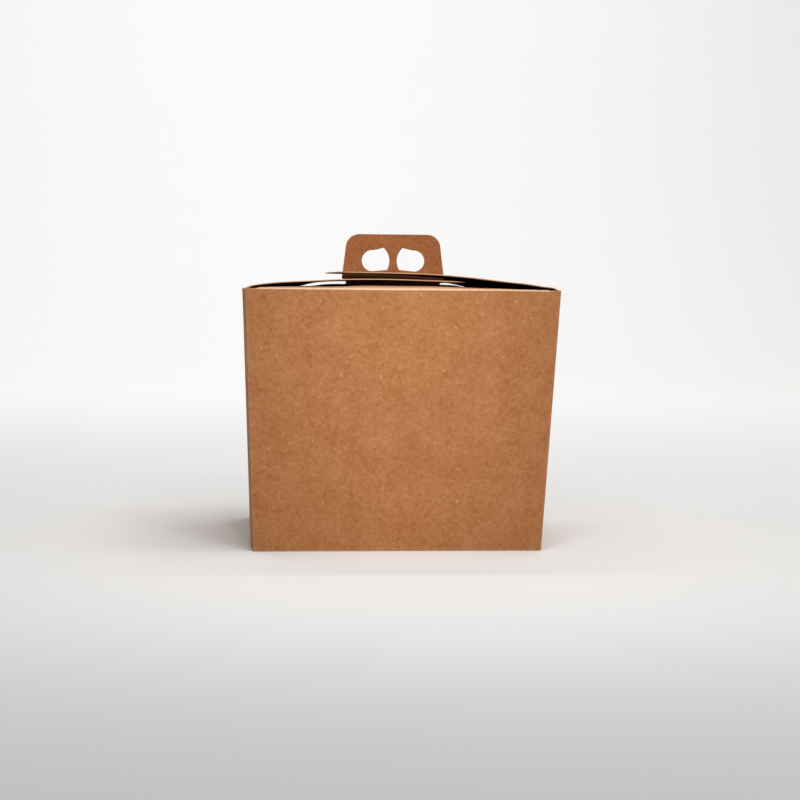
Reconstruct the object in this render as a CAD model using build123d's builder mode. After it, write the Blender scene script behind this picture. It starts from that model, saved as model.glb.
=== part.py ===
from build123d import *
import os

os.makedirs("parts", exist_ok=True)

# ---------------------------------------------------------------- dimensions
# All lengths in millimetres, +Z up, origin at the centre of the base.
board = 0.6            # thickness of the solid kraft board
base_side = 200.0      # outside of the square base
top_side = 217.0       # outside of the square rim, the walls lean outwards
wall_height = 180.8    # base to the fold line round the rim
rim_shift = 2.0        # the folded carton leans this much towards +X at the rim
corner_radius = 1.0    # outside radius of the vertical folds
fold_radius = 0.8      # outside radius of the base folds

half_base = base_side / 2
half_top = top_side / 2
rim_left = rim_shift - half_top      # outer face of the left wall at the rim
rim_right = rim_shift + half_top     # outer face of the right wall at the rim

# handle, cut as one half on the front lid flap and one on the back lid flap
handle_x = 3.35        # centre of the handle
ply_gap = 0.3          # free space between the two halves
fold_z = 183.1         # where the lid flaps turn up into the handle
neck_half = 34.8       # half width below the shoulders
shoulder_z = 188.4     # underside of the shoulders
shoulder_half = 37.6   # half width just above the shoulders
upper_half = 34.4      # half width where the top corners begin
handle_top = 221.0
handle_corner = 8.8
taper_top_z = handle_top - handle_corner

# finger holes: two eyes with a waisted post between them
eye_end_x = 15.3       # centre of the round outer end, from the handle centre
eye_end_z = 201.6
eye_end_r = 7.8
eye_top = (7.0, 211.1)     # upper inner tip
eye_waist = (2.7, 202.4)   # nearest point to the handle centre
eye_foot = (4.5, 194.9)    # lower inner tip

# front and back lid flaps
lid_root_inset = 8.0   # relief at each end of the fold line
# side lid flaps
side_half_width = 105.5
side_length = 152.5
side_corner = 16.0
slot_width = 3.2
left_slot = (-32.0, 38.7)    # from x to x, shorter than the shoulders are wide
right_slot = (-35.2, 41.6)   # from x to x, longer than the shoulders are wide
hinge_gap = 0.6              # free strip each side of the right fold line

# ------------------------------------------------------------------ profiles
# outer face of each side flap from its fold line to its free end, in X and Z
left_profile = [
    (rim_left, wall_height),
    (-88.5, 183.6),
    (-60.0, 185.4),
    (-38.0, 186.9),
    (-15.0, 187.65),
    (15.0, 187.25),
    (rim_left + side_length, 186.2),
]
right_profile = [
    (rim_right - hinge_gap, wall_height + 0.08),
    (96.0, 182.6),
    (68.0, 185.9),
    (47.5, 188.3),
    (28.0, 190.5),
    (12.0, 191.6),
    (-10.0, 192.15),
    (rim_right - side_length, 192.6),
]


def inner_face(points):
    """The same line moved one board thickness down, square to the line."""
    moved = []
    for i, (x, z) in enumerate(points):
        xa, za = points[max(i - 1, 0)]
        xb, zb = points[min(i + 1, len(points) - 1)]
        run = Vector(xb - xa, zb - za).normalized()
        normal = Vector(-run.Y, run.X) if run.X > 0 else Vector(run.Y, -run.X)
        moved.append((x - normal.X * board, z - normal.Y * board))
    return moved


def eye(side):
    """Outline points of one finger hole, side -1 left and +1 right."""
    def at(p):
        return (handle_x + side * p[0], p[1])

    start = at((eye_end_x - 0.9, eye_end_z + eye_end_r - 0.05))
    mid = at((eye_end_x + eye_end_r, eye_end_z))
    end = at((eye_end_x + 0.6, eye_end_z - eye_end_r + 0.02))
    return start, mid, end, at(eye_top), at(eye_waist), at(eye_foot)


# ------------------------------------------------------------------- carton
# One die-cut sheet, folded and glued: four walls, locked base, glue strip,
# front and back lid flaps with the handle halves, and the left lid flap.
with BuildPart() as carton:
    # four leaning walls and the outer layer of the base
    with BuildSketch(Plane.XY):
        Rectangle(base_side, base_side)
    with BuildSketch(Plane.XY.offset(wall_height)):
        with Locations((rim_shift, 0)):
            Rectangle(top_side, top_side)
    loft()
    upright = [e for e in carton.edges() if abs(e.tangent_at(0.5).Z) > 0.9]
    fillet(upright, corner_radius)
    foot = [
        e for e in carton.edges()
        if e.bounding_box().max.Z < 0.01
    ]
    fillet(foot, fold_radius)
    with BuildSketch(Plane.XY.offset(board)):
        with Locations((rim_shift * board / wall_height, 0)):
            RectangleRounded(base_side - 1.15, base_side - 1.15, 0.4)
    with BuildSketch(Plane.XY.offset(wall_height + 0.001)):
        with Locations((rim_shift, 0)):
            RectangleRounded(top_side - 1.2, top_side - 1.2, 0.4)
    loft(mode=Mode.SUBTRACT)

    # seam between the two large base flaps, a pinwheel step at the middle, and
    # the wedges at each side where the large flaps narrow and the small ones show
    seam = 0.5
    with BuildSketch(Plane.XY):
        with BuildLine():
            Polyline(
                (-95.6, 14.0), (-9.0, 14.0), (9.0, -14.0 + seam), (95.6, -14.0 + seam),
                (95.6, -14.0), (9.0 - seam * 0.6, -14.0), (-9.0 - seam * 0.6, 14.0 - seam),
                (-95.6, 14.0 - seam), (-95.6, 14.0),
            )
        make_face()
        with BuildLine():
            Polyline((-98.8, -97.0), (-94.3, 13.75), (-98.8, 97.0), (-98.8, -97.0))
        make_face()
        with BuildLine():
            Polyline((98.8, 97.0), (94.3, -13.75), (98.8, -97.0), (98.8, 97.0))
        make_face()
    extrude(amount=board + 0.001, mode=Mode.SUBTRACT)
    # inner layer of the base: the two side flaps, end to end over the seam
    with BuildSketch(Plane.XY.offset(board)):
        with BuildLine():
            Polyline(
                (-99.5, -97.5), (-54.0, -60.0), (54.0, -60.0), (99.5, -97.5),
                (99.5, 97.5), (54.0, 60.0), (-54.0, 60.0), (-99.5, 97.5), (-99.5, -97.5),
            )
        make_face()
    extrude(amount=board)

    # glue strip inside the left wall at the back corner
    lean_left = (rim_left + half_base) / wall_height
    strip = Plane(
        origin=(-half_base + board, half_base, 0),
        x_dir=(0, 1, 0),
        z_dir=Vector(1, 0, -lean_left).normalized(),
    )
    with BuildSketch(strip):
        with BuildLine():
            Polyline((-16.0, 12.0), (-1.0, 6.0), (6.6, 172.0), (-9.0, 166.0), (-16.0, 12.0))
        make_face()
    extrude(amount=board)

    # left lid flap: a curved sheet carried by the left wall's fold
    with BuildSketch(Plane.XZ):
        with BuildLine():
            lower = inner_face(left_profile)
            Spline(*left_profile)
            Line(left_profile[-1], lower[-1])
            Spline(*reversed(lower))
            Line(lower[0], left_profile[0])
        make_face()
    extrude(amount=side_half_width, both=True)
    # rounded corners of its free end
    end_x = rim_left + side_length
    with BuildSketch(Plane.XY.offset(183.0)):
        for s in (1, -1):
            with BuildLine():
                a = (end_x - side_corner, s * side_half_width)
                m = (
                    end_x - side_corner * (1 - 0.70711),
                    s * (side_half_width - side_corner * (1 - 0.70711)),
                )
                b = (end_x, s * (side_half_width - side_corner))
                ThreePointArc(a, m, b)
                Polyline(b, (end_x + 2, b[1]), (end_x + 2, a[1] + s * 2), (a[0], a[1] + s * 2), a)
            make_face()
    extrude(amount=6.0, mode=Mode.SUBTRACT)
    # its slot round the neck of the handle
    with BuildSketch(Plane.XY.offset(184.0)):
        with Locations(((left_slot[0] + left_slot[1]) / 2, 0)):
            SlotOverall(left_slot[1] - left_slot[0], slot_width)
    extrude(amount=5.0, mode=Mode.SUBTRACT)

    # front and back lid flaps, each turning up into one half of the handle
    rise = fold_z - wall_height
    run = half_top - ply_gap / 2
    for s in (-1, 1):
        slope = Plane(
            origin=(0, s * half_top, wall_height),
            x_dir=(1, 0, 0),
            z_dir=Vector(0, s * rise, run).normalized(),
        )
        reach = (rise**2 + run**2) ** 0.5
        with BuildSketch(slope):
            with BuildLine():
                Polyline(
                    (rim_left + lid_root_inset, 0.0),
                    (rim_right - lid_root_inset, 0.0),
                    (handle_x + neck_half, -s * (reach - 3.0)),
                    (handle_x + neck_half, -s * reach),
                    (handle_x - neck_half, -s * reach),
                    (handle_x - neck_half, -s * (reach - 3.0)),
                    (rim_left + lid_root_inset, 0.0),
                )
            make_face()
        extrude(amount=-board)
        face_plane = Plane(
            origin=(0, s * ply_gap / 2, 0), x_dir=(1, 0, 0), z_dir=(0, -1, 0)
        )
        with BuildSketch(face_plane):
            with BuildLine():
                left_top = handle_x - upper_half
                right_top = handle_x + upper_half
                k = handle_corner
                Polyline(
                    (left_top, taper_top_z),
                    (handle_x - shoulder_half, shoulder_z + 0.8),
                    (handle_x - shoulder_half + 0.8, shoulder_z),
                    (handle_x - neck_half, shoulder_z),
                    (handle_x - neck_half, fold_z - board),
                    (handle_x + neck_half, fold_z - board),
                    (handle_x + neck_half, shoulder_z),
                    (handle_x + shoulder_half - 0.8, shoulder_z),
                    (handle_x + shoulder_half, shoulder_z + 0.8),
                    (right_top, taper_top_z),
                )
                RadiusArc(
                    (right_top, taper_top_z), (right_top - k, handle_top), -k
                )
                Line((right_top - k, handle_top), (left_top + k, handle_top))
                RadiusArc(
                    (left_top + k, handle_top), (left_top, taper_top_z), -k
                )
            make_face()
        extrude(amount=-s * board)
    # finger holes through both halves
    with BuildSketch(Plane.XZ):
        for side in (-1, 1):
            start, mid, end, tip, waist, foot_tip = eye(side)
            with BuildLine():
                ThreePointArc(start, mid, end)
                Line(end, foot_tip)
                ThreePointArc(foot_tip, waist, tip)
                Line(tip, start)
            make_face()
    extrude(amount=3.0, both=True, mode=Mode.SUBTRACT)

carton.part.label = "carton"
export_step(carton.part, "parts/carton.step")

# --------------------------------------------------------------- right flap
# The outer lid flap, folded over last. It swings on the right wall's fold.
with BuildPart() as right_flap:
    with BuildSketch(Plane.XZ):
        with BuildLine():
            lower = inner_face(right_profile)
            Spline(*right_profile)
            Line(right_profile[-1], lower[-1])
            Spline(*reversed(lower))
            Line(lower[0], right_profile[0])
        make_face()
    extrude(amount=side_half_width, both=True)
    free_x = rim_right - side_length
    with BuildSketch(Plane.XY.offset(175.0)):
        with BuildLine():
            c = side_corner
            w = side_half_width
            d = c * (1 - 0.70711)
            Polyline(
                (free_x + c, w), (rim_right + 1, w), (rim_right + 1, -w), (free_x + c, -w)
            )
            ThreePointArc((free_x + c, -w), (free_x + d, -w + d), (free_x, -w + c))
            Line((free_x, -w + c), (free_x, w - c))
            ThreePointArc((free_x, w - c), (free_x + d, w - d), (free_x + c, w))
        make_face()
    extrude(amount=25.0, mode=Mode.INTERSECT)
    with BuildSketch(Plane.XY.offset(188.0)):
        with Locations(((right_slot[0] + right_slot[1]) / 2, 0)):
            SlotOverall(right_slot[1] - right_slot[0], slot_width)
    extrude(amount=6.0, mode=Mode.SUBTRACT)

right_flap.part.label = "right_flap"
export_step(right_flap.part, "parts/right_flap.step")
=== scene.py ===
import math

import bpy
import numpy as np
from mathutils import Matrix, Vector, geometry


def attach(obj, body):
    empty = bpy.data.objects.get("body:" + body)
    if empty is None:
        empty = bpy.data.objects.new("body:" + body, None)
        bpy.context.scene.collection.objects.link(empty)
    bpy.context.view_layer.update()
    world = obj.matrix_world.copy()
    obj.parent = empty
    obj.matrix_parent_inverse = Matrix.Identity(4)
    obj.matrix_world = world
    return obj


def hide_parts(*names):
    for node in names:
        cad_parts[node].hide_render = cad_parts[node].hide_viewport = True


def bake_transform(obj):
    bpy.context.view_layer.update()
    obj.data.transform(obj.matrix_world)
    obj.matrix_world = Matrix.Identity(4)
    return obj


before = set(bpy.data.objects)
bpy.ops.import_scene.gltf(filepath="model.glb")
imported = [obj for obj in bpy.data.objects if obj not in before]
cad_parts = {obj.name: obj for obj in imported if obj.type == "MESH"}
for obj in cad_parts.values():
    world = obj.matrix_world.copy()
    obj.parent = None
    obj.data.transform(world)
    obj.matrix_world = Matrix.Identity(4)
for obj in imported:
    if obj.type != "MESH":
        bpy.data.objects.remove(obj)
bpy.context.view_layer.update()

# ------------------------------------------------------------------ sizes, mm
T = 0.6            # board
S = 108.5          # half of the rim
B = 100.0          # half of the base
H = 180.8          # height of the rim's fold line
SHIFT = 2.0        # lean of the rim towards +X
RC = 0.8           # outer radius of the upright folds
M = RC * math.pi / 4
RIM_R = 0.68       # outer radius of the rim folds
BASE_R = 0.66      # outer radius of the base folds
HX = 3.35          # centre of the handle
FOLD_Z = 183.1     # the lid flaps turn up here
PLY = 0.15         # half of the space between the handle's two plies
NECK, SHOULDER, UPPER = 34.8, 37.7, 34.85
SHOULDER_Z, TOP_Z, CORNER_R = 188.0, 221.0, 9.8
SIDE_W = 105.5     # half width of the side lid flaps
SIDE_L = 152.5     # their length
SIDE_R = 16.0
KT = (S - M) / (S - RC)   # flat drawing width over real width at the rim
KB = (S - M) / (B - RC)   # the same at the base
DELTA = 0.7        # the left wall turns this far inside the back wall
RIM_LEFT, RIM_RIGHT = SHIFT - S, SHIFT + S

RIGHT = {"front": (1, 0), "right": (0, 1), "back": (-1, 0), "left": (0, -1)}
OUT = {"front": (0, -1), "right": (1, 0), "back": (0, 1), "left": (-1, 0)}
CENTRE = {"left": 0.0, "front": 2 * S, "right": 4 * S, "back": 6 * S}
LEAN = {
    "front": (S - B) / H,
    "back": (S - B) / H,
    "left": (S - SHIFT - B) / H,
    "right": (S + SHIFT - B) / H,
}


# -------------------------------------------------------------- small helpers
def smooth(a, b, x):
    t = min(max((x - a) / (b - a), 0.0), 1.0)
    return t * t * (3 - 2 * t)


def curve_through(points):
    """A natural cubic through the points, as a function of the first number."""
    xs = np.array([p[0] for p in points], float)
    ys = np.array([p[1] for p in points], float)
    n = len(xs)
    h = np.diff(xs)
    a = np.zeros((n, n))
    r = np.zeros(n)
    a[0, 0] = a[-1, -1] = 1.0
    for i in range(1, n - 1):
        a[i, i - 1], a[i, i], a[i, i + 1] = h[i - 1], 2 * (h[i - 1] + h[i]), h[i]
        r[i] = 6 * ((ys[i + 1] - ys[i]) / h[i] - (ys[i] - ys[i - 1]) / h[i - 1])
    m = np.linalg.solve(a, r)

    def f(x):
        x = min(max(x, xs[0] - 5), xs[-1] + 5)
        i = int(min(max(np.searchsorted(xs, x) - 1, 0), n - 2))
        d = x - xs[i]
        b = (ys[i + 1] - ys[i]) / h[i] - h[i] * (2 * m[i] + m[i + 1]) / 6
        return ys[i] + b * d + m[i] / 2 * d * d + (m[i + 1] - m[i]) / (6 * h[i]) * d**3

    return f


def wave(x, seed, scale):
    """A gentle wavy line between about -1 and 1."""
    return (
        math.sin(x / scale * 2 * math.pi + seed * 1.7)
        + 0.6 * math.sin(x / scale * 2 * math.pi * 2.3 + seed * 4.1)
        + 0.35 * math.sin(x / scale * 2 * math.pi * 5.1 + seed * 2.9)
    ) / 1.95


def unit(v):
    return v / max(np.linalg.norm(v), 1e-12)


# ------------------------------------------------- how the flat sheet is folded
def bow(wall, x, y):
    """How far a wall stands out of its plane: board is never quite flat."""
    u, v = x / S, y / H
    out = 0.0
    if abs(u) < 1 and 0 < v < 1:
        window = (1 - u * u) * min(v / 0.16, 1.0) * min((1 - v) / 0.10, 1.0)
        seed = {"front": 1.0, "right": 2.6, "back": 4.0, "left": 5.2}[wall]
        big = {"front": 0.35, "right": 0.7, "back": 0.5, "left": -0.25}[wall]
        ripple = 0.14 * wave(x + 0.35 * y, seed, 148.0) + 0.08 * wave(y - 0.4 * x, seed + 2, 97.0)
        out = window * (big * math.sin(math.pi * v) + ripple)
    if wall == "left":
        out += left_swell(x, max(y, 0.0)) - 0.3 * math.sin(math.pi * min(max(v, 0), 1)) * smooth(S, 0, x)
    return out


def left_swell(x, y):
    """The left wall is pushed out a little at its foot, near the front corner."""
    a = x / S
    run = smooth(1.0, 0.84, a) * (0.25 + 0.75 * smooth(-0.45, 0.7, a)) * smooth(-1.0, -0.55, a)
    return 1.35 * run * math.exp(-y / 30.0)


def ring(wall, x, y):
    """Outer face of the four walls. x runs along the wall, y up it."""
    s = B + (S - B) * y / H
    rx, ry = RIGHT[wall]
    ox, oy = OUT[wall]
    ax = abs(x)
    if wall == "left" and x < -(S - M) + DELTA:
        past = -(S - M) + DELTA - x
        edge = s - RC - DELTA
        if past <= 2 * M:
            phi = past / M * math.pi / 4
            a, d = -(edge + RC * math.sin(phi)), s - RC + RC * math.cos(phi)
        else:
            a, d = -(edge + RC), s - RC - (past - 2 * M)
    elif ax <= S - M:
        a, d = x * (s - RC) / (S - M), s
    elif wall == "back" and x > 0:
        a, d = s - RC + (x - (S - M)) * 1.1, s
    else:
        phi = (ax - (S - M)) / M * math.pi / 4
        a, d = math.copysign(s - RC + RC * math.sin(phi), x), s - RC + RC * math.cos(phi)
    d += bow(wall, x, y)
    c = SHIFT * y / H
    return np.array([c + a * rx + d * ox, a * ry + d * oy, y])


def rim_fold(wall, x, u, slope, radius):
    """Outer face across the rim's fold: u below 0 is wall, above 0 is lid flap."""
    rx, ry = RIGHT[wall]
    ox, oy = OUT[wall]
    lean = math.atan(LEAN[wall])
    up = np.array([math.sin(lean), math.cos(lean)])
    inward = np.array([-math.cos(lean), math.sin(lean)])
    flap = np.array([-math.cos(slope), math.sin(slope)])
    turn = math.acos(max(-1.0, min(1.0, float(up @ flap))))
    t = radius * math.tan(turn / 2)
    corner = np.array([S, H])
    if u <= -t:
        p = corner + u * up
    elif u >= t:
        p = corner + u * flap
    else:
        th = (u + t) / (2 * t) * turn
        p = corner - t * up + radius * (math.sin(th) * up + (1 - math.cos(th)) * inward)
    # the fold line itself is not dead straight
    seed = {"front": 3.1, "right": 1.4, "back": 6.0, "left": 4.4}[wall]
    p = p + (0.1 + 0.12 * wave(x, seed, 120.0)) * math.exp(-((u / (1.6 if u < 0 else 6.0)) ** 2)) * up
    a = x / KT
    return np.array([SHIFT + a * rx + p[0] * ox, a * ry + p[0] * oy, p[1]]), t


LID_SLOPE = math.atan((FOLD_Z - H) / (S - PLY - T))
LID_U = (S - PLY - T) / math.cos(LID_SLOPE)
HANDLE_Y0 = H + LID_U      # flat height of the fold into the handle


# how far the lid flaps spring up just behind their fold, by place along the rim
SPRING = curve_through([(-112, 0.55), (-98, 0.8), (-88, 1.05), (-74, 1.25), (-52, 1.25), (-40, 1.5), (-30, 1.95), (-10, 2.1),
                        (15, 2.1), (30, 1.9), (40, 1.5), (52, 1.15), (67, 0.85), (85, 0.5), (104, 0.3), (112, 0.25)])


def lid_and_handle(wall, x, u):
    """Front or back lid flap, then the half of the handle that it turns up into."""
    side = 1 if wall == "front" else -1
    radius = RIM_R
    r2 = 0.45
    turn = math.pi / 2 - LID_SLOPE
    t2 = r2 * math.tan(turn / 2)
    rx, ry = RIGHT[wall]
    ox, oy = OUT[wall]
    a = x / KT
    start = LID_U - t2
    if u <= start:
        p, _ = rim_fold(wall, x, u, LID_SLOPE, radius)
        if u > 0:
            lift = SPRING(SHIFT + a) if wall == "front" else 0.35 * SPRING(SHIFT - a)
            ramp = u / 6.0 if u < 4.5 else 1 - (7.5 - min(u, 7.5)) ** 2 / 36.0
            p[2] += lift * min(ramp, 1.0) * (1 - max(u - 7.5, 0) / (start - 7.5))
            if wall == "back":
                p[2] += 1.5 * smooth(58, 88, u) * (1 - smooth(99, start, u))
        return p
    d0 = S - start * math.cos(LID_SLOPE)
    z0 = H + start * math.sin(LID_SLOPE)
    if u < LID_U + t2:
        th = (u - start) / (2 * t2) * turn
        along = np.array([-math.cos(LID_SLOPE), math.sin(LID_SLOPE)])
        lift = np.array([math.sin(LID_SLOPE), math.cos(LID_SLOPE)])
        q = np.array([d0, z0]) + r2 * (math.sin(th) * along + (1 - math.cos(th)) * lift)
        d, z = q
    else:
        d, z = PLY + T, FOLD_Z + (u - LID_U)
    return np.array([SHIFT + a * rx + d * ox, a * ry + d * oy, z])


LEFT_SLOPE = math.radians(8.5)
# height of the left flap's outer face along its front and its back edge
LEFT_NEAR = curve_through([(0, 181.0), (4.1, 182.55), (8.1, 183.3), (12.3, 183.95), (18, 184.6), (31, 185.55), (38, 185.9), (46, 186.35), (56, 186.9),
                           (67, 187.4), (86, 187.78), (106, 187.65), (120, 187.3), (140, 186.7), (152.5, 186.25)])
LEFT_FAR = curve_through([(0, 180.8), (14, 181.4), (28, 181.8), (38, 182.35), (44.2, 183.2), (48.1, 184.1), (51.4, 185.0),
                          (55.5, 185.9), (62, 186.6), (81.5, 187.3), (100, 187.5), (116, 187.4), (134, 187.0), (152.5, 186.3)])


def left_lid(x, u):
    """Left lid flap: u from its fold, x along the fold, +x towards the front."""
    p, t = rim_fold("left", x, u, LEFT_SLOPE, RIM_R)
    if u > t:
        k = smooth(-SIDE_W, SIDE_W, x / KT)
        want = LEFT_NEAR(u) * k + LEFT_FAR(u) * (1 - k)
        want += 0.10 * wave(x, 1.3, 160.0) * smooth(4, 40, u) * (1 - 0.8 * math.exp(-((u - 110) / 30) ** 2))
        line = H + u * math.sin(LEFT_SLOPE)
        f = smooth(t, t + 3, u)
        p[2] = line + f * (want - line)
        p[0] = RIM_LEFT + u * (math.cos(LEFT_SLOPE) * (1 - f) + f)
    return p


RIGHT_SLOPE = math.atan(0.118)
# height of the right flap's outer face along its front and its back edge
RIGHT_NEAR = curve_through([(0, 180.8), (3.2, 182.2), (10.2, 183.35), (20.6, 184.9), (34.5, 186.4), (48.4, 187.9), (62.2, 189.4),
                            (72.6, 190.3), (80, 190.85), (98.5, 191.75), (120.5, 192.2), (152.5, 192.6)])
RIGHT_FAR = curve_through([(0, 180.8), (10, 181.7), (20, 182.2), (30, 182.6), (36, 183.0), (40, 183.5), (44.4, 184.4), (49, 185.4),
                           (55, 186.6), (63, 187.9), (75, 189.2), (90, 190.6), (110, 191.9), (130, 192.7), (152.5, 193.2)])


def right_lid(x, u):
    """Right lid flap: u from its fold, x along the fold, +x towards the back."""
    p, t = rim_fold("right", x, u, RIGHT_SLOPE, RIM_R)
    if u > t:
        k = smooth(-SIDE_W, SIDE_W, x / KT)
        want = RIGHT_NEAR(u) * (1 - k) + RIGHT_FAR(u) * k
        want += 0.07 * wave(x + 20, 0.4, 170.0) * smooth(10, 60, u) * (1 - 0.85 * math.exp(-(((u - 105) / 34) ** 2)))
        line = H + u * math.sin(RIGHT_SLOPE)
        f = smooth(t, t + 4, u)
        p[2] = line + f * (want - line)
        p[0] = RIM_RIGHT - u * (math.cos(RIGHT_SLOPE) * (1 - f) + f)
    return p


def base_flap(wall, x, y):
    """Outer face across a base fold: y is 0 or less on the base flap."""
    low = 0.0 if wall in ("front", "back") else T + 0.1
    u = low - y
    lean = math.atan(LEAN[wall])
    down = np.array([-math.sin(lean), -math.cos(lean)])
    flap = np.array([-1.0, 0.0])
    turn = math.acos(max(-1.0, min(1.0, float(down @ flap))))
    t = BASE_R * math.tan(turn / 2)
    corner = np.array([B + LEAN[wall] * low, low])
    side = np.array([-math.cos(lean), math.sin(lean)])
    if u <= -t:
        q = corner + u * down
    elif u >= t:
        q = corner + u * flap
    else:
        th = (u + t) / (2 * t) * turn
        q = corner - t * down + BASE_R * (math.sin(th) * down + (1 - math.cos(th)) * side)
    rx, ry = RIGHT[wall]
    ox, oy = OUT[wall]
    a = x / KB
    d, z = q
    if wall == "left":
        d += left_swell(x, max(z, 0.0)) * smooth(30, 0, u)
    return np.array([a * rx + d * ox, a * ry + d * oy, z])


# ------------------------------------------------------ the flat sheet's outline
def arc(cx, cy, r, a0, a1, n):
    return [
        (cx + r * math.cos(math.radians(a0 + (a1 - a0) * i / n)), cy + r * math.sin(math.radians(a0 + (a1 - a0) * i / n)))
        for i in range(n + 1)
    ]


def arc3(p, q, r, n):
    """Points on the arc from p through q to r."""
    (ax, ay), (bx, by), (cx, cy) = p, q, r
    d = 2 * (ax * (by - cy) + bx * (cy - ay) + cx * (ay - by))
    ux = ((ax**2 + ay**2) * (by - cy) + (bx**2 + by**2) * (cy - ay) + (cx**2 + cy**2) * (ay - by)) / d
    uy = ((ax**2 + ay**2) * (cx - bx) + (bx**2 + by**2) * (ax - cx) + (cx**2 + cy**2) * (bx - ax)) / d
    rad = math.hypot(ax - ux, ay - uy)
    a0, am, a1 = (math.atan2(y - uy, x - ux) for x, y in (p, q, r))
    def fwd(a, b):
        return (b - a) % (2 * math.pi)
    sweep = fwd(a0, a1) if fwd(a0, am) <= fwd(a0, a1) else fwd(a0, a1) - 2 * math.pi
    return [(ux + rad * math.cos(a0 + sweep * i / n), uy + rad * math.sin(a0 + sweep * i / n)) for i in range(n + 1)]


def handle_outline(c):
    """Right to left over the top of one handle half; c is its centre along the wall."""
    def at(a, z):
        return ((c + a) * KT, HANDLE_Y0 + z - FOLD_Z)

    k = CORNER_R
    pts = [at(NECK, FOLD_Z - 3), at(NECK, FOLD_Z - 0.4), at(NECK, FOLD_Z), at(NECK, FOLD_Z + 0.4), at(NECK, SHOULDER_Z - 0.5)]
    pts += [at(NECK + 0.15, SHOULDER_Z - 0.1), at(NECK + 0.5, SHOULDER_Z)]
    pts += [at(x, z) for x, z in arc(SHOULDER - 0.9, SHOULDER_Z + 0.9, 0.9, -90, 0, 4)]
    top = arc(UPPER - k, TOP_Z - k, k, 5, 90, 12)
    pts += [at(SHOULDER - 0.12, SHOULDER_Z + 1.9)]
    pts += [at(x, z) for x, z in top]
    pts += [at(-x, z) for x, z in reversed(top)]
    pts += [at(-SHOULDER + 0.12, SHOULDER_Z + 1.9)]
    pts += [at(-x, z) for x, z in reversed(arc(SHOULDER - 0.9, SHOULDER_Z + 0.9, 0.9, -90, 0, 4))]
    pts += [at(-NECK - 0.5, SHOULDER_Z), at(-NECK - 0.15, SHOULDER_Z - 0.1)]
    pts += [at(-NECK, SHOULDER_Z - 0.5), at(-NECK, FOLD_Z + 0.4), at(-NECK, FOLD_Z), at(-NECK, FOLD_Z - 0.4), at(-NECK, FOLD_Z - 3)]
    return pts


def eye_outline(c, side):
    """One finger hole of a handle half."""
    ex, ez, er = 15.3, 201.6, 7.8
    tip, waist, foot = (7.0, 211.1), (2.7, 202.4), (4.5, 194.9)
    outer = arc(ex, ez, er, 97, -85, 16)        # over the round outer end
    outer = [(2 * ex - x, z) for x, z in outer]
    outer = [(2 * ex - x, z) for x, z in outer]
    inner = arc3(foot, waist, tip, 14)
    pts = outer + inner
    return [((c + side * x) * KT, HANDLE_Y0 + z - FOLD_Z) for x, z in pts]


def slot_outline(v, u0, u1, y0):
    """A long slot across a side lid flap: half width v, from u0 to u1."""
    pts = arc(0, y0 + u1 - v, v, 0, 180, 8) + arc(0, y0 + u0 + v, v, 180, 360, 8)
    return [(x * KT, y) for x, y in pts]


def shift(points, dx):
    return [(x + dx, y) for x, y in points]


ROOT = 100.5      # half width of the front and back lid flaps at their fold
MINOR_END = 99.3
x_mid = -(S - M) + DELTA - M
x_glue = -(S - M) + DELTA - 2 * M - 16.0
outline = []
# along the bottom: glue strip and left wall
outline += [(x_glue, 16.0), (x_mid - 2.2, 6.5), (x_mid - 1.0, 1.2), (x_mid, 0.0), (-97.3 * KB, 0.0)]
minor = [(-96 * KB, T + 0.1), (-60 * KB, -46.0), (-60 * KB, -MINOR_END), (60 * KB, -MINOR_END), (60 * KB, -46.0), (96 * KB, T + 0.1)]
major = [(-97 * KB, 0.0), (-94.3 * KB, -113.8), (-9.2 * KB, -113.8), (8.8 * KB, -85.8), (94.8 * KB, -85.8), (97 * KB, 0.0)]
outline += minor + [(97.3 * KB, 0.0)]
outline += shift([(-98 * KB, 0.0)] + major + [(98 * KB, 0.0)], CENTRE["front"])
outline += shift([(-97.3 * KB, 0.0)] + minor + [(97.3 * KB, 0.0)], CENTRE["right"])
outline += shift([(-98 * KB, 0.0)] + major + [(S - 0.02, 0.0)], CENTRE["back"])
# back along the top
STRIP = 1.3       # the right fold's strip reaches this far each side of the fold line
def lid_top(c):
    h = handle_outline(c)
    return [(ROOT * KT, H)] + h + [(-ROOT * KT, H)]
outline += shift([(S - 0.02, H)] + lid_top(-(HX - SHIFT)) + [(-S, H)], CENTRE["back"])
outline += shift([(SIDE_W * KT, H), (SIDE_W * KT, H - STRIP), (-SIDE_W * KT, H - STRIP), (-SIDE_W * KT, H), (-S, H)], CENTRE["right"])
outline += shift(lid_top(HX - SHIFT) + [(-S, H)], CENTRE["front"])
w, L = SIDE_W, SIDE_L
outline += [(w * KT, H), (w * KT, H + L - SIDE_R)]
outline += [((w - SIDE_R + SIDE_R * math.cos(a)) * KT, H + L - SIDE_R + SIDE_R * math.sin(a)) for a in np.radians(np.linspace(0, 90, 9)[1:])]
outline += [((-w + SIDE_R - SIDE_R * math.cos(a)) * KT, H + L - SIDE_R + SIDE_R * math.sin(a)) for a in np.radians(np.linspace(90, 0, 9)[:-1])]
outline += [(-w * KT, H + L - SIDE_R), (-w * KT, H), (x_mid, H), (x_mid - 1.0, H - 1.2), (x_mid - 2.2, H - 6.5), (x_glue, H - 16.0)]

holes = [
    slot_outline(1.6, -32.0 - RIM_LEFT, 38.7 - RIM_LEFT, H),
    shift(eye_outline(HX - SHIFT, -1), CENTRE["front"]),
    shift(eye_outline(HX - SHIFT, 1), CENTRE["front"]),
    shift(eye_outline(-(HX - SHIFT), -1), CENTRE["back"]),
    shift(eye_outline(-(HX - SHIFT), 1), CENTRE["back"]),
]


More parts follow.
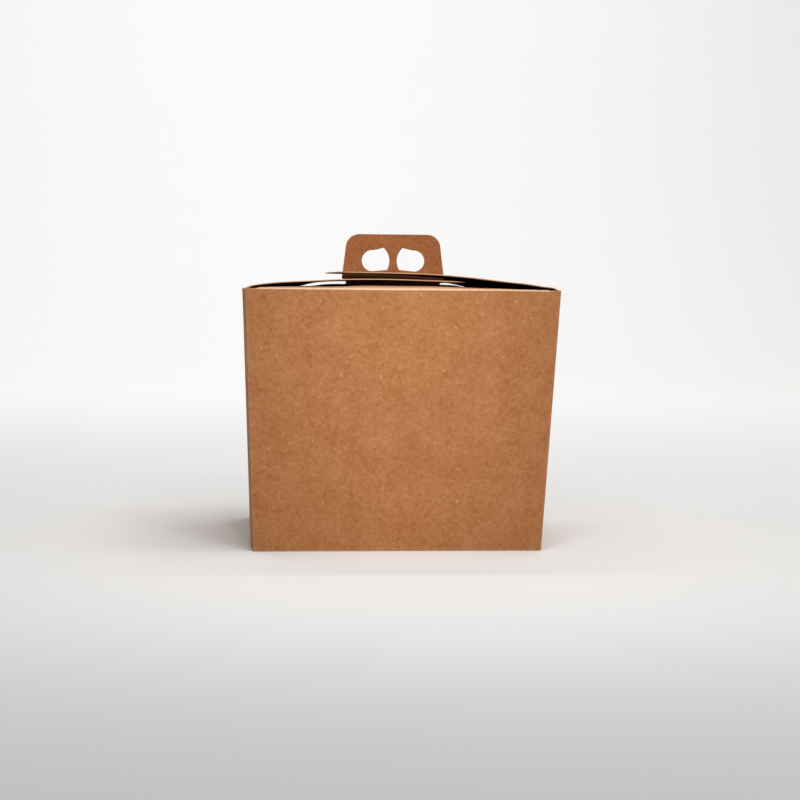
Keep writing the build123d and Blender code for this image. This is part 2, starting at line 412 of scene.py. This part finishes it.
def region_of(x, y):
    """Which fold function places a point of the flat sheet."""
    if x < S:
        wall = "left"
    elif x < 3 * S:
        wall = "front"
    elif x < 5 * S:
        wall = "right"
    else:
        wall = "back"
    lx = x - CENTRE[wall]
    low = 0.0 if wall in ("front", "back") else T + 0.1
    root = (97 if wall in ("front", "back") else 96) * KB + 0.01
    if y < low + 1.2 and abs(lx) <= root:
        return "base", wall
    if y > H - 1.35:
        if wall in ("front", "back") and (abs(lx) <= ROOT * KT + 0.01 or y > H + 0.01):
            return "lid", wall
        if wall == "left" and (abs(lx) <= SIDE_W * KT + 0.01 or y > H + 0.01):
            return "left_lid", wall
    return "wall", wall


def place(kind, wall, x, y):
    if kind == "base":
        return base_flap(wall, x, y)
    if kind == "lid":
        return lid_and_handle(wall, x, y - H)
    if kind == "left_lid":
        return left_lid(x, y - H)
    if kind == "right_lid":
        return right_lid(x, y - H)
    return ring(wall, x, y)


def fold_pale_and_painted_sheen(kind, wall, x, y):
    """1 where the board is stretched pale by a fold, 0 away from it; the wider band on the front lid flap is a painted
    highlight.
    """
    u = y - H
    upright = abs(x - x_mid) if wall == "left" and x < 0 else abs(abs(x) - S)
    out = 0.16 * math.exp(-((upright / 1.0) ** 2)) if kind == "wall" else 0.0
    low = 0.0 if wall in ("front", "back") else T + 0.1
    out = max(out, 0.45 * math.exp(-(((y - low) / 0.8) ** 2)))
    if kind in ("lid", "left_lid", "right_lid"):
        rear = kind == "lid" and wall == "back"
        band = 1 - smooth(0.5, 2.6, u)
        # painted highlight: the front lid flap stays pale for about 10 mm behind its fold, where it is lit
        if kind == "lid" and not rear:
            band = 0.55 * band + 0.45 * (1 - smooth(6.5, 10.0, u))
        out = max(out, smooth(-0.9, -0.4, u) * band)
        if kind == "lid":
            out = max(out, 0.5 * math.exp(-(((y - HANDLE_Y0) / 0.8) ** 2)))
    return out


# ------------------------------------------------------------- sheet to mesh
def rows_near(levels, offsets):
    return sorted({round(l + o, 3) for l in levels for o in offsets})


FINE = (-8, -5, -3, -1.9, -1.35, -0.9, -0.45, 0, 0.45, 0.9, 1.35, 1.9, 3, 5, 8)


def split_edges(loop, longest, levels_x=(), levels_y=()):
    """Adds points on a closed outline so that folds and long edges are divided."""
    out = []
    n = len(loop)
    for i in range(n):
        (x0, y0), (x1, y1) = loop[i], loop[(i + 1) % n]
        length = math.hypot(x1 - x0, y1 - y0)
        ts = {0.0}
        for k in range(1, int(length / longest) + 1):
            t = k / (int(length / longest) + 1)
            ts.add(t)
        for level, a, b in [(l, y0, y1) for l in levels_y] + [(l, x0, x1) for l in levels_x]:
            if abs(b - a) > 1e-6:
                t = (level - a) / (b - a)
                if 0.0005 < t < 0.9995 and all(abs(t - q) * length > 0.2 for q in ts):
                    ts.add(t)
        for t in sorted(ts):
            out.append((x0 + (x1 - x0) * t, y0 + (y1 - y0) * t))
    clean = []
    for p in out:
        if not clean or math.hypot(p[0] - clean[-1][0], p[1] - clean[-1][1]) > 0.05:
            clean.append(p)
    return clean


def inside(points, loop):
    """Even-odd test of many points against one loop."""
    px, py = points[:, 0], points[:, 1]
    res = np.zeros(len(points), bool)
    n = len(loop)
    for i in range(n):
        (x0, y0), (x1, y1) = loop[i], loop[(i + 1) % n]
        if y0 == y1:
            continue
        cross = (py < y0) != (py < y1)
        t = (py - y0) / (y1 - y0)
        res ^= cross & (px < x0 + t * (x1 - x0))
    return res


def distance_to(points, loop):
    best = np.full(len(points), 1e9)
    n = len(loop)
    for i in range(n):
        a, b = np.array(loop[i]), np.array(loop[(i + 1) % n])
        ab = b - a
        t = np.clip(((points - a) @ ab) / max(ab @ ab, 1e-12), 0, 1)
        best = np.minimum(best, np.hypot(*(points - a - t[:, None] * ab).T))
    return best


def triangulate(loop, hole_loops, inner_points, clear=0.22):
    pts = np.array(inner_points, float)
    keep = inside(pts, loop)
    pts, d = pts[keep], None
    d = distance_to(pts, loop)
    pts = pts[d > clear]
    for h in hole_loops:
        pts = pts[~inside(pts, h)]
        pts = pts[distance_to(pts, h) > clear]
    verts, edges = [], []
    for lp in [loop] + hole_loops:
        base = len(verts)
        verts += [Vector(p) for p in lp]
        edges += [(base + i, base + (i + 1) % len(lp)) for i in range(len(lp))]
    verts += [Vector(p) for p in pts]
    v, _, f, *_ = geometry.delaunay_2d_cdt(verts, edges, [], 0, 1e-5)
    v = np.array([(p.x, p.y) for p in v])
    f = np.array([t for t in f if len(t) == 3])
    mid = v[f].mean(axis=1)
    ok = inside(mid, loop)
    for h in hole_loops:
        ok &= ~inside(mid, h)
    f = f[ok]
    a, b, c = v[f[:, 0]], v[f[:, 1]], v[f[:, 2]]
    area = (b[:, 0] - a[:, 0]) * (c[:, 1] - a[:, 1]) - (b[:, 1] - a[:, 1]) * (c[:, 0] - a[:, 0])
    f[area < 0] = f[area < 0][:, ::-1]
    f = f[np.abs(area) > 1e-7]
    used = np.unique(f)
    remap = -np.ones(len(v), int)
    remap[used] = np.arange(len(used))
    return v[used], remap[f]


def sheet_mesh(name, flat, tris, regions, thickness=T):
    """Folds a flat triangulated sheet into a closed board with two faces and a cut edge."""
    n = len(flat)
    outer, inner, fold = np.zeros((n, 3)), np.zeros((n, 3)), np.zeros(n)
    e = 0.02
    for i, (x, y) in enumerate(flat):
        kind, wall = regions[i]
        lx = x - CENTRE[wall] if kind != "right_lid" else x
        p = place(kind, wall, lx, y)
        px = place(kind, wall, lx + e, y) - place(kind, wall, lx - e, y)
        py = place(kind, wall, lx, y + e) - place(kind, wall, lx, y - e)
        normal = unit(np.cross(px, py))
        outer[i], inner[i] = p, p - thickness * normal
        fold[i] = fold_pale_and_painted_sheen(kind, wall, lx, y)
    edge_use = {}
    for a, b, c in tris:
        for p, q in ((a, b), (b, c), (c, a)):
            edge_use[(p, q)] = True
    rim = [(p, q) for (p, q) in edge_use if (q, p) not in edge_use]
    verts = np.vstack([outer, inner]) * 0.001
    faces = [tuple(int(k) for k in t) for t in tris]
    faces += [(int(a) + n, int(c) + n, int(b) + n) for a, b, c in tris]
    cut = len(faces)
    faces += [(int(q), int(p), int(p) + n, int(q) + n) for p, q in rim]
    mesh = bpy.data.meshes.new(name)
    mesh.from_pydata([tuple(v) for v in verts], [], faces)
    mesh.update()
    for k, poly in enumerate(mesh.polygons):
        poly.use_smooth = True
        poly.material_index = 0 if k < len(tris) else (1 if k < cut else 2)
    rim_points = {p for e2 in rim for p in e2}
    near = np.array([1.0 if i in rim_points else 0.0 for i in range(n)])
    flat_attr = mesh.attributes.new("flat", "FLOAT_VECTOR", "POINT")
    co = np.zeros((2 * n, 3))
    co[:n, :2] = flat * 0.001
    co[n:, :2] = flat * 0.001
    co[n:, 2] = 0.35
    flat_attr.data.foreach_set("vector", co.astype(np.float32).ravel())
    # painted shade mask: 1 on the handle plies above their fold
    handle_painted_shade = np.array([1.0 if r[0] == "lid" and y > HANDLE_Y0 + 1 else 0.0 for r, (x, y) in zip(regions, flat)])
    for label, values in (("fold", fold), ("rim", near), ("handle_painted_shade", handle_painted_shade)):
        at = mesh.attributes.new(label, "FLOAT", "POINT")
        at.data.foreach_set("value", np.concatenate([values, values]).astype(np.float32))
    mesh.set_sharp_from_angle(angle=math.radians(38))
    ob = bpy.data.objects.new(name, mesh)
    bpy.context.scene.collection.objects.link(ob)
    return ob


def grid(xs, ys):
    return [(x, y) for x in xs for y in ys]


def spread(a, b, step):
    n = max(int(round((b - a) / step)), 1)
    return [a + (b - a) * i / n for i in range(n + 1)]


def carton_sheet():
    fold_x = [S, 3 * S, 5 * S]
    cols = []
    for wall, c in CENTRE.items():
        cols += spread(c - S + 8, c + S - 8, 6.0)
    cols += rows_near(fold_x, FINE) + rows_near([x_mid], FINE[1:])
    cols += [x_glue + 4, x_glue + 8, x_glue + 12] + [7 * S - 5, 7 * S - 2.5]
    wall_rows = spread(8, H - 8, 6.0)
    rim_rows = rows_near([H], FINE)
    base_rows = rows_near([0.0], FINE)
    base_rows_side = [r + T + 0.1 for r in base_rows]
    inner_pts = grid(sorted(cols), wall_rows + [r for r in rim_rows if r < H + 0.01])
    for wall in CENTRE:
        c = CENTRE[wall]
        xs = [x for x in sorted(cols) if c - S <= x <= c + S]
        inner_pts += grid(xs, base_rows if wall in ("front", "back") else base_rows_side)
        inner_pts += grid([c + v for v in spread(-100 * KB, 100 * KB, 6.0)], spread(-112, -9, 6.0))
        if wall in ("front", "back"):
            side = 1 if wall == "front" else -1
            hc = (HX - SHIFT) * side
            inner_pts += grid([v for v in xs if abs(v - c) < ROOT * KT - 9], [r for r in rim_rows if H < r < H + 8.5])
            for u in spread(12, LID_U - 8, 6.0) + rows_near([LID_U], FINE):
                k = min(max(u / LID_U, 0), 1)
                half = ROOT + (NECK - ROOT) * k
                mid = hc * k
                n = max(int(half * 2 / 6.0), 8)
                inner_pts += [(c + (mid + half * (2 * i / n - 1)) * KT, H + u) for i in range(n + 1)]
            inner_pts += grid([c + (hc + v) * KT for v in spread(-SHOULDER, SHOULDER, 2.4)], spread(HANDLE_Y0 + 9, HANDLE_Y0 + TOP_Z - FOLD_Z, 2.4))
    inner_pts += grid([x for x in sorted(cols) if abs(x) < SIDE_W * KT], [r for r in rim_rows if r > H])
    inner_pts += grid(spread(-SIDE_W * KT, SIDE_W * KT, 5.5), spread(H + 12, H + SIDE_L, 5.0))
    inner_pts += grid(rows_near([0.0], (-5, -3.2, 3.2, 5)), spread(H + 70, H + 150, 2.5))
    loop = split_edges(outline, 5.0, levels_x=rows_near(fold_x, FINE[3:-3]), levels_y=[r for r in rim_rows if r > H - 3 and r < H + 3] + base_rows[3:-3])
    hl = [split_edges(h, 2.2) for h in holes]
    seen, uniq = set(), []
    for p in inner_pts:
        key = (round(p[0] / 0.28), round(p[1] / 0.28))
        if key not in seen:
            seen.add(key)
            uniq.append(p)
    flat, tris = triangulate(loop, hl, uniq)
    return sheet_mesh("carton_sheet", flat, tris, [region_of(x, y) for x, y in flat])


def right_sheet(name):
    """The right lid flap, from just past its fold to its free end."""
    w0, u0, u1 = SIDE_W * KT, STRIP, SIDE_L
    loop = [(-w0, H + u0), (w0, H + u0), (w0, H + u1 - SIDE_R)]
    loop += [((SIDE_W - SIDE_R + SIDE_R * math.cos(a)) * KT, H + u1 - SIDE_R + SIDE_R * math.sin(a)) for a in np.radians(np.linspace(0, 90, 9)[1:])]
    loop += [((-SIDE_W + SIDE_R - SIDE_R * math.cos(a)) * KT, H + u1 - SIDE_R + SIDE_R * math.sin(a)) for a in np.radians(np.linspace(90, 0, 9)[:-1])]
    loop += [(-w0, H + u1 - SIDE_R)]
    hl = [split_edges(slot_outline(1.6, RIM_RIGHT - 41.6, RIM_RIGHT + 35.2, H), 2.2)]
    ys = rows_near([H + u0], (0.5, 1, 2, 3.5, 6)) + spread(H + u0 + 9, H + u1, 5.0)
    pts = grid(spread(-w0, w0, 3.0), ys) + grid(rows_near([0.0], (-5, -3.2, 3.2, 5)), spread(H + 62, H + 150, 2.5))
    flat, tris = triangulate(split_edges(loop, 3.0, levels_y=ys), hl, pts)
    return sheet_mesh(name, flat, tris, [("right_lid", "right")] * len(flat))


def right_strip(name):
    """The narrow strip of board across the right flap's fold."""
    xs = spread(-SIDE_W * KT, SIDE_W * KT, 3.0)
    ys = spread(H - STRIP, H + STRIP, 0.2)
    m = len(ys)
    flat = np.array([(x, y) for x in xs for y in ys])
    tris = []
    for i in range(len(xs) - 1):
        for j in range(m - 1):
            a, b, c, d = i * m + j, (i + 1) * m + j, (i + 1) * m + j + 1, i * m + j + 1
            tris += [(a, b, c), (a, c, d)]
    return sheet_mesh(name, flat, np.array(tris), [("right_lid", "right")] * len(flat))


# ---------------------------------------------------------------- materials
def kraft(name, tone=1.0, cut=False):
    """Brown kraft board: mottled, with short fibres, a few light flecks and faint streaks."""
    mat = bpy.data.materials.new(name)
    mat.use_nodes = True
    nt = mat.node_tree
    nt.nodes.clear()
    new, link = nt.nodes.new, nt.links.new

    def node(kind, **props):
        n = new(kind)
        for k, v in props.items():
            setattr(n, k, v)
        return n

    def noise(vec, scale, detail=3.0, rough=0.55):
        n = node("ShaderNodeTexNoise")
        n.inputs["Scale"].default_value = scale
        n.inputs["Detail"].default_value = detail
        n.inputs["Roughness"].default_value = rough
        link(vec, n.inputs["Vector"])
        return n.outputs["Fac"]

    def stretched(vec, scale):
        n = node("ShaderNodeMapping")
        n.inputs["Scale"].default_value = scale
        link(vec, n.inputs["Vector"])
        return n.outputs["Vector"]

    def ramp(fac, stops):
        n = node("ShaderNodeValToRGB")
        els = n.color_ramp.elements
        while len(els) < len(stops):
            els.new(0.5)
        for e, (pos, col) in zip(els, stops):
            e.position = pos
            e.color = (col, col, col, 1) if isinstance(col, float) else (*col, 1)
        link(fac, n.inputs["Fac"])
        return n.outputs["Color"]

    def mix(kind, fac, a, b):
        n = node("ShaderNodeMix", data_type="RGBA", blend_type=kind)
        for socket, value in ((n.inputs["Factor"], fac), (n.inputs["A"], a), (n.inputs["B"], b)):
            if isinstance(value, (int, float)):
                socket.default_value = value if socket.name == "Factor" else (value, value, value, 1)
            elif isinstance(value, tuple):
                socket.default_value = (*value, 1)
            else:
                link(value, socket)
        return n.outputs["Result"]

    flat = node("ShaderNodeAttribute", attribute_name="flat").outputs["Vector"]
    fold = node("ShaderNodeAttribute", attribute_name="fold").outputs["Fac"]

    dark = tuple(tone * c for c in (0.330, 0.116, 0.033))
    light = tuple(tone * c for c in (0.540, 0.250, 0.108))
    # cloudy pulp, at every scale from a few centimetres down to a millimetre
    pulp = node("ShaderNodeTexNoise")
    pulp.inputs["Scale"].default_value = 42.0
    pulp.inputs["Detail"].default_value = 5.0
    pulp.inputs["Roughness"].default_value = 0.95
    link(flat, pulp.inputs["Vector"])
    fine = noise(flat, 1300.0, 2.0, 0.6)
    fib = noise(stretched(flat, (1.0, 0.2, 1.0)), 1300.0, 2.0, 0.5)
    fib2 = noise(stretched(flat, (0.25, 1.0, 1.0)), 1000.0, 2.0, 0.5)
    streak = noise(stretched(flat, (1.0, 0.05, 1.0)), 130.0, 2.0, 0.5)

    def weighted(terms, offset):
        total = None
        for fac, w in terms:
            n = node("ShaderNodeMath", operation="MULTIPLY_ADD")
            link(fac, n.inputs[0])
            n.inputs[1].default_value = w
            if total is None:
                n.inputs[2].default_value = offset
            else:
                link(total, n.inputs[2])
            total = n.outputs[0]
        return total

    clot = noise(flat, 300.0, 1.0, 0.5)
    terms = [(pulp.outputs["Fac"], 1.45), (clot, 0.65), (fine, 0.8), (fib, 0.5), (fib2, 0.45), (streak, 0.14)]
    level = weighted(terms, 0.46 - 0.5 * sum(w for _, w in terms))
    base = mix("MIX", level, dark, light)
    # sparse pale flecks
    fleck = noise(stretched(flat, (1.0, 0.75, 1.0)), 290.0, 1.0, 0.5)
    base = mix("MIX", ramp(fleck, [(0.675, 0.0), (0.80, 0.50)]), base, tuple(tone * c for c in (0.66, 0.38, 0.20)))
    # painted shade: the two handle plies are multiplied slightly darker in green and blue, so they read darker than
    # the front
    base = mix("MULTIPLY", node("ShaderNodeAttribute", attribute_name="handle_painted_shade").outputs["Fac"], base, (1.0, 0.98, 0.99))
    grain = fine
    # the skin opens and pales along the folds; on the front lid flap this paleness is also a painted highlight
    crack = noise(stretched(flat, (1.0, 1.0, 1.0)), 650.0, 3.0, 0.7)
    pale = node("ShaderNodeMath", operation="MULTIPLY")
    link(fold, pale.inputs[0])
    link(ramp(crack, [(0.25, 0.55), (0.6, 1.0)]), pale.inputs[1])
    base = mix("MIX", pale.outputs[0], base, tuple(tone * c for c in (0.78, 0.53, 0.35)))
    if cut:
        core = noise(stretched(flat, (1.0, 1.0, 1.0)), 1400.0, 3.0, 0.7)
        base = ramp(core, [(0.30, (0.46, 0.245, 0.12)), (0.55, (0.60, 0.35, 0.19)), (0.75, (0.72, 0.47, 0.28))])

    bsdf = node("ShaderNodeBsdfPrincipled")
    bsdf.inputs["Roughness"].default_value = 0.86
    bsdf.inputs["Specular IOR Level"].default_value = 0.1
    link(base, bsdf.inputs["Base Color"])
    rough = ramp(noise(flat, 700.0, 2.0), [(0.3, 0.78), (0.7, 0.93)])
    link(rough, bsdf.inputs["Roughness"])
    height = mix("ADD", 1.0, ramp(fib, [(0.2, 0.0), (0.8, 0.45)]), ramp(grain, [(0.2, 0.0), (0.8, 0.55)]))
    bump = node("ShaderNodeBump")
    bump.inputs["Strength"].default_value = 0.35
    bump.inputs["Distance"].default_value = 0.00012
    link(height, bump.inputs["Height"])
    link(bump.outputs["Normal"], bsdf.inputs["Normal"])
    out = node("ShaderNodeOutputMaterial")
    link(bsdf.outputs["BSDF"], out.inputs["Surface"])
    return mat


outside = kraft("kraft_outside", 1.0)
inside_face = kraft("kraft_inside", 0.88)
edge = kraft("kraft_cut_edge", 1.0, cut=True)

carton = carton_sheet()
flap = right_sheet("right_flap_sheet")
hinge = right_strip("right_fold")
for ob in (carton, flap, hinge):
    for m in (outside, inside_face, edge):
        ob.data.materials.append(m)

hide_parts("carton")
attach(carton, "carton")
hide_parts("right_flap")
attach(flap, "right_flap")
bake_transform(hinge)


# -------------------------------------------------------------------- stage
def stage_surface():
    """A pale floor that curves up into a backdrop, as one sheet."""
    pts = [(-3.0, 0.0)] + [(y, 0.0) for y in np.linspace(-2.5, 2.2, 12)]
    pts += [(2.2 + 1.0 * math.sin(a), 1.0 - 1.0 * math.cos(a)) for a in np.linspace(0.1, math.pi / 2, 14)]
    pts += [(3.2, z) for z in np.linspace(1.4, 4.5, 6)]
    verts, faces = [], []
    for y, z in pts:
        verts += [(-5.0, y, z - 0.00008), (5.0, y, z - 0.00008)]
    for i in range(len(pts) - 1):
        faces.append((2 * i, 2 * i + 1, 2 * i + 3, 2 * i + 2))
    me = bpy.data.meshes.new("backdrop")
    me.from_pydata(verts, [], faces)
    for p in me.polygons:
        p.use_smooth = True
    ob = bpy.data.objects.new("backdrop", me)
    bpy.context.scene.collection.objects.link(ob)
    mat = bpy.data.materials.new("paper_backdrop")
    mat.use_nodes = True
    b = mat.node_tree.nodes["Principled BSDF"]
    b.inputs["Base Color"].default_value = (0.86, 0.852, 0.84, 1)
    b.inputs["Roughness"].default_value = 0.95
    b.inputs["Specular IOR Level"].default_value = 0.1
    me.materials.append(mat)
    return ob


stage_surface()


def area(name, loc, aim, size, power, colour=(1, 1, 1)):
    lamp = bpy.data.lights.new(name, "AREA")
    lamp.shape = "RECTANGLE"
    lamp.size, lamp.size_y = size
    lamp.energy = power
    lamp.color = colour
    ob = bpy.data.objects.new(name, lamp)
    ob.location = loc
    ob.rotation_mode = "QUATERNION"
    ob.rotation_quaternion = (Vector(aim) - Vector(loc)).to_track_quat("-Z", "Y")
    bpy.context.scene.collection.objects.link(ob)
    return ob


area("softbox_key", (-0.005, -0.38, 0.43), (-0.005, -0.1, 0.13), (0.12, 0.10), 0.66)
spot = bpy.data.lights.new("panel_spot", "SPOT")
spot.energy = 20.0
spot.spot_size, spot.spot_blend = math.radians(16.0), 1.0
spot.shadow_soft_size = 0.06
spot_ob = bpy.data.objects.new("panel_spot", spot)
spot_ob.location = (-0.01, -0.95, 0.72)
spot_ob.rotation_mode = "QUATERNION"
spot_ob.rotation_quaternion = (Vector((0.004, -0.105, 0.112)) - Vector((-0.01, -0.95, 0.72))).to_track_quat("-Z", "Y")
bpy.context.scene.collection.objects.link(spot_ob)
area("softbox_top", (0.45, -0.3, 1.7), (0.1, 0.2, 0.0), (1.1, 1.1), 11.0)
area("backdrop_light", (0.0, 1.3, 2.6), (0.0, 3.1, 0.9), (3.0, 0.6), 60.0)

world = bpy.data.worlds.new("studio")
bpy.context.scene.world = world
world.use_nodes = True
bg = world.node_tree.nodes["Background"]
bg.inputs["Color"].default_value = (1.0, 1.0, 1.0, 1)
bg.inputs["Strength"].default_value = 0.30

# ------------------------------------------------------------------- camera
cam_data = bpy.data.cameras.new("camera")
cam = bpy.data.objects.new("camera", cam_data)
bpy.context.scene.collection.objects.link(cam)
yaw, pitch, roll = (math.radians(v) for v in (5.067, -3.235, 0.483))
fw = np.array([math.sin(yaw) * math.cos(pitch), math.cos(yaw) * math.cos(pitch), math.sin(pitch)])
rt = np.array([math.cos(yaw), -math.sin(yaw), 0.0])
up = np.cross(rt, fw)
r2 = math.cos(roll) * rt + math.sin(roll) * up
u2 = -math.sin(roll) * rt + math.cos(roll) * up
rot = Matrix((tuple(r2), tuple(u2), tuple(-fw))).transposed().to_4x4()
cam.matrix_world = Matrix.Translation((-0.1192, -1.450, 0.18125)) @ rot
cam_data.sensor_width = 36.0
cam_data.lens = 1970.9 * 36.0 / 800.0
cam_data.clip_start, cam_data.clip_end = 0.05, 50.0
bpy.context.scene.camera = cam

scene = bpy.context.scene
scene.view_settings.view_transform = "Standard"
scene.view_settings.look = "None"
scene.view_settings.exposure = 0.0
scene.view_settings.gamma = 1.0

bpy.context.view_layer.update()
